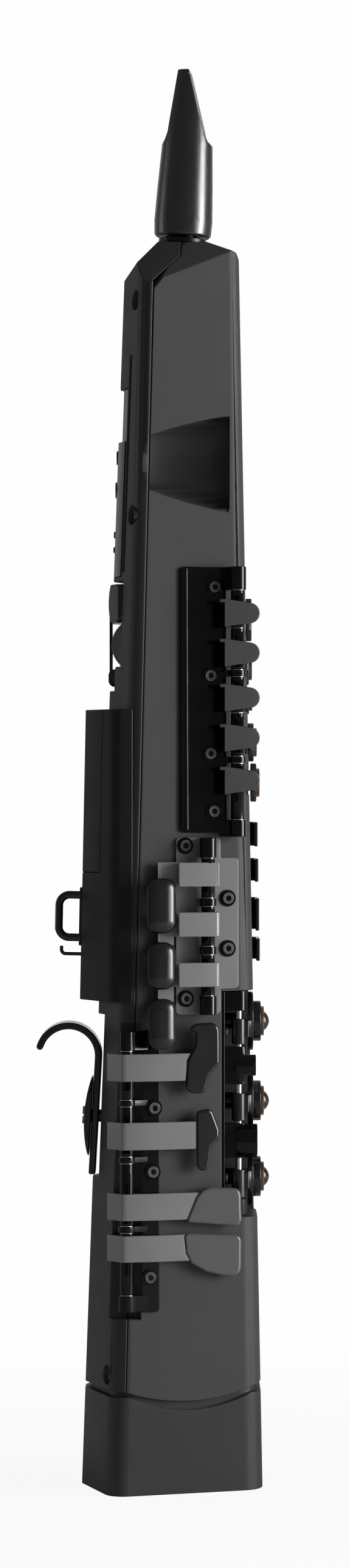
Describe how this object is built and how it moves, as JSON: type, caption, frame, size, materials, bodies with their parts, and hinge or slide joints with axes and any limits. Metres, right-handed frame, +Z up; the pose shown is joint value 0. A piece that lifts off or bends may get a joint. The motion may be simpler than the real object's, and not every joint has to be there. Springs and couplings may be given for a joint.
{
  "type": "digital wind controller",
  "caption": "Saxophone-style electronic wind instrument with a beaked mouthpiece, tapered black body, sprung finger, side and palm keys, thumb hook, strap ring and short bell.",
  "frame": {"origin": "centre of the bell's bottom rim, in the plane that the instrument stands on", "axes": "+Z up the instrument to the mouthpiece, -Y to the front with the finger pearls, +Y to the player, -X to the player's right hand side"},
  "size_m": [0.0897, 0.1115, 0.6775],
  "materials": {
    "case_black": "fine satin moulding",
    "bell_black": "fine satin moulding",
    "panel_black": "smooth",
    "mouth_black": "polished",
    "frame_black": "gloss black",
    "key_grey": "satin dark grey",
    "key_black": "satin to gloss",
    "pearl_brown": "polished",
    "steel": "bright",
    "screw_grey": "blackened",
    "hook_black": "satin black",
    "cork": "cork composition",
    "board_green": "solder mask",
    "cell_green": "sleeve"
  },
  "bodies": {
    "body": {"front_shell": "case_black", "rear_shell": "case_black", "bell": "bell_black", "neck_tube": "steel", "neck_cork": "cork", "control_panel": "panel_black", "thumb_rest": "key_black", "thumb_hook_clamp": "hook_black", "strap_ring": "hook_black", "cable_hook": "hook_black", "upper_frame": "frame_black", "side_frame": "key_grey", "low_frame": "frame_black", "front_frame": "frame_black", "left_frame": "frame_black", "hinge_rods": "steel", "frame_screws": "screw_grey", "case_screws": "screw_grey", "jack_sockets": "steel", "main_board": "board_green", "breath_sensor": "steel", "speaker": "panel_black", "battery_cells": "cell_green"},
    "mouthpiece": {"mouthpiece": "mouth_black"},
    "battery_door": {"battery_door": "case_black"},
    "thumb_hook": {"thumb_hook": "hook_black"},
    "octave_key": {"octave_key": "key_black"},
    "power_button": {"power_button": "panel_black"},
    "function_button": {"function_button": "panel_black"},
    "up_button": {"up_button": "panel_black"},
    "down_button": {"down_button": "panel_black"},
    "front_f_key": {"front_f_key": "key_grey"},
    "b_key": {"b_key": "key_grey", "b_pearl": "pearl_brown"},
    "bis_key": {"bis_key": "key_grey", "bis_pearl": "pearl_brown"},
    "a_key": {"a_key": "key_grey", "a_pearl": "pearl_brown"},
    "g_key": {"g_key": "key_grey", "g_pearl": "pearl_brown"},
    "f_key": {"f_key": "key_black", "f_pearl": "pearl_brown"},
    "e_key": {"e_key": "key_black", "e_pearl": "pearl_brown"},
    "d_key": {"d_key": "key_black", "d_pearl": "pearl_brown"},
    "side_e_key": {"side_e_key": "key_grey"},
    "side_c_key": {"side_c_key": "key_grey"},
    "side_b_flat_key": {"side_b_flat_key": "key_grey"},
    "high_f_sharp_key": {"high_f_sharp_key": "key_grey"},
    "f_sharp_trill_key": {"f_sharp_trill_key": "key_grey"},
    "low_e_flat_key": {"low_e_flat_key": "key_grey"},
    "low_c_key": {"low_c_key": "key_grey"},
    "palm_d_key": {"palm_d_key": "key_grey"},
    "palm_e_flat_key": {"palm_e_flat_key": "key_grey"},
    "palm_f_key": {"palm_f_key": "key_grey"},
    "g_sharp_key": {"g_sharp_key": "key_black"},
    "c_sharp_key": {"c_sharp_key": "key_black"},
    "low_b_key": {"low_b_key": "key_black"},
    "low_b_flat_key": {"low_b_flat_key": "key_black"}
  },
  "joints": [
    {"name": "mouthpiece_slide", "type": "slide", "parent": "body", "child": "mouthpiece", "axis": [0, -0.0523, 0.9986], "range_m": [0, 0.02]},
    {"name": "battery_door_slide", "type": "slide", "parent": "body", "child": "battery_door", "axis": [0, -0.0202, 0.9998], "range_m": [0, 0.04]},
    {"name": "thumb_hook_slide", "type": "slide", "parent": "body", "child": "thumb_hook", "axis": [0, -0.055, 0.9985], "range_m": [0, 0.008]},
    {"name": "octave_key_hinge", "type": "hinge", "parent": "body", "child": "octave_key", "pos_m": [0, 0.0245, 0.386], "axis": [1, 0, 0], "range_deg": [0, 3], "stiffness_Nm_per_rad": 0.05, "springref_deg": -8.59},
    {"name": "power_button_slide", "type": "slide", "parent": "body", "child": "power_button", "axis": [0, -1, 0], "range_m": [0, 0.0006], "stiffness_N_per_m": 300, "springref_m": -0.0005},
    {"name": "function_button_slide", "type": "slide", "parent": "body", "child": "function_button", "axis": [0, -1, 0], "range_m": [0, 0.0006], "stiffness_N_per_m": 300, "springref_m": -0.0005},
    {"name": "up_button_slide", "type": "slide", "parent": "body", "child": "up_button", "axis": [0, -1, 0], "range_m": [0, 0.0006], "stiffness_N_per_m": 300, "springref_m": -0.0005},
    {"name": "down_button_slide", "type": "slide", "parent": "body", "child": "down_button", "axis": [0, -1, 0], "range_m": [0, 0.0006], "stiffness_N_per_m": 300, "springref_m": -0.0005},
    {"name": "front_f_key_hinge", "type": "hinge", "parent": "body", "child": "front_f_key", "pos_m": [-0.0265, -0.0308, 0.37], "axis": [0, 0, 1], "range_deg": [0, 4], "stiffness_Nm_per_rad": 0.05, "springref_deg": -8.59},
    {"name": "b_key_hinge", "type": "hinge", "parent": "body", "child": "b_key", "pos_m": [-0.0265, -0.0308, 0.37], "axis": [0, 0, 1], "range_deg": [0, 4], "stiffness_Nm_per_rad": 0.05, "springref_deg": -8.59},
    {"name": "bis_key_hinge", "type": "hinge", "parent": "body", "child": "bis_key", "pos_m": [-0.0265, -0.0308, 0.37], "axis": [0, 0, 1], "range_deg": [0, 4], "stiffness_Nm_per_rad": 0.05, "springref_deg": -8.59},
    {"name": "a_key_hinge", "type": "hinge", "parent": "body", "child": "a_key", "pos_m": [-0.0265, -0.0308, 0.37], "axis": [0, 0, 1], "range_deg": [0, 4], "stiffness_Nm_per_rad": 0.05, "springref_deg": -8.59},
    {"name": "g_key_hinge", "type": "hinge", "parent": "body", "child": "g_key", "pos_m": [-0.0265, -0.0308, 0.37], "axis": [0, 0, 1], "range_deg": [0, 4], "stiffness_Nm_per_rad": 0.05, "springref_deg": -8.59},
    {"name": "f_key_hinge", "type": "hinge", "parent": "body", "child": "f_key", "pos_m": [-0.015, -0.0314, 0.18], "axis": [0, 0, 1], "range_deg": [0, 8], "stiffness_Nm_per_rad": 0.05, "springref_deg": -8.59},
    {"name": "e_key_hinge", "type": "hinge", "parent": "body", "child": "e_key", "pos_m": [-0.015, -0.0314, 0.18], "axis": [0, 0, 1], "range_deg": [0, 8], "stiffness_Nm_per_rad": 0.05, "springref_deg": -8.59},
    {"name": "d_key_hinge", "type": "hinge", "parent": "body", "child": "d_key", "pos_m": [-0.015, -0.0314, 0.18], "axis": [0, 0, 1], "range_deg": [0, 8], "stiffness_Nm_per_rad": 0.05, "springref_deg": -8.59},
    {"name": "side_e_key_hinge", "type": "hinge", "parent": "body", "child": "side_e_key", "pos_m": [-0.0325, -0.0167, 0.27], "axis": [0, 0, -1], "range_deg": [0, 3.5], "stiffness_Nm_per_rad": 0.05, "springref_deg": -8.59},
    {"name": "side_c_key_hinge", "type": "hinge", "parent": "body", "child": "side_c_key", "pos_m": [-0.0325, -0.0167, 0.27], "axis": [0, 0, -1], "range_deg": [0, 3.5], "stiffness_Nm_per_rad": 0.05, "springref_deg": -8.59},
    {"name": "side_b_flat_key_hinge", "type": "hinge", "parent": "body", "child": "side_b_flat_key", "pos_m": [-0.0325, -0.0167, 0.27], "axis": [0, 0, -1], "range_deg": [0, 3.5], "stiffness_Nm_per_rad": 0.05, "springref_deg": -8.59},
    {"name": "high_f_sharp_key_hinge", "type": "hinge", "parent": "body", "child": "high_f_sharp_key", "pos_m": [-0.0415, 0.0217, 0.15], "axis": [0, 0, 1], "range_deg": [0, 3], "stiffness_Nm_per_rad": 0.05, "springref_deg": -8.59},
    {"name": "f_sharp_trill_key_hinge", "type": "hinge", "parent": "body", "child": "f_sharp_trill_key", "pos_m": [-0.0415, 0.0217, 0.15], "axis": [0, 0, 1], "range_deg": [0, 3], "stiffness_Nm_per_rad": 0.05, "springref_deg": -8.59},
    {"name": "low_e_flat_key_hinge", "type": "hinge", "parent": "body", "child": "low_e_flat_key", "pos_m": [-0.0415, 0.0217, 0.15], "axis": [0, 0, 1], "range_deg": [0, 3], "stiffness_Nm_per_rad": 0.05, "springref_deg": -8.59},
    {"name": "low_c_key_hinge", "type": "hinge", "parent": "body", "child": "low_c_key", "pos_m": [-0.0415, 0.0217, 0.15], "axis": [0, 0, 1], "range_deg": [0, 2.2], "stiffness_Nm_per_rad": 0.05, "springref_deg": -8.59},
    {"name": "palm_d_key_hinge", "type": "hinge", "parent": "body", "child": "palm_d_key", "pos_m": [0.0315, -0.0124, 0.42], "axis": [0, 0, 1], "range_deg": [0, 3.5], "stiffness_Nm_per_rad": 0.05, "springref_deg": -8.59},
    {"name": "palm_e_flat_key_hinge", "type": "hinge", "parent": "body", "child": "palm_e_flat_key", "pos_m": [0.0315, -0.0124, 0.42], "axis": [0, 0, 1], "range_deg": [0, 3.5], "stiffness_Nm_per_rad": 0.05, "springref_deg": -8.59},
    {"name": "palm_f_key_hinge", "type": "hinge", "parent": "body", "child": "palm_f_key", "pos_m": [0.0315, -0.0124, 0.42], "axis": [0, 0, 1], "range_deg": [0, 3.5], "stiffness_Nm_per_rad": 0.05, "springref_deg": -8.59},
    {"name": "g_sharp_key_hinge", "type": "hinge", "parent": "body", "child": "g_sharp_key", "pos_m": [0.0265, -0.0298, 0.28], "axis": [0, 0, -1], "range_deg": [0, 3], "stiffness_Nm_per_rad": 0.05, "springref_deg": -8.59},
    {"name": "c_sharp_key_hinge", "type": "hinge", "parent": "body", "child": "c_sharp_key", "pos_m": [0.0265, -0.0298, 0.28], "axis": [0, 0, -1], "range_deg": [0, 3], "stiffness_Nm_per_rad": 0.05, "springref_deg": -8.59},
    {"name": "low_b_key_hinge", "type": "hinge", "parent": "body", "child": "low_b_key", "pos_m": [0.0265, -0.0298, 0.28], "axis": [0, 0, -1], "range_deg": [0, 3], "stiffness_Nm_per_rad": 0.05, "springref_deg": -8.59},
    {"name": "low_b_flat_key_hinge", "type": "hinge", "parent": "body", "child": "low_b_flat_key", "pos_m": [0.0265, -0.0298, 0.28], "axis": [0, 0, -1], "range_deg": [0, 3], "stiffness_Nm_per_rad": 0.05, "springref_deg": -8.59}
  ]
}
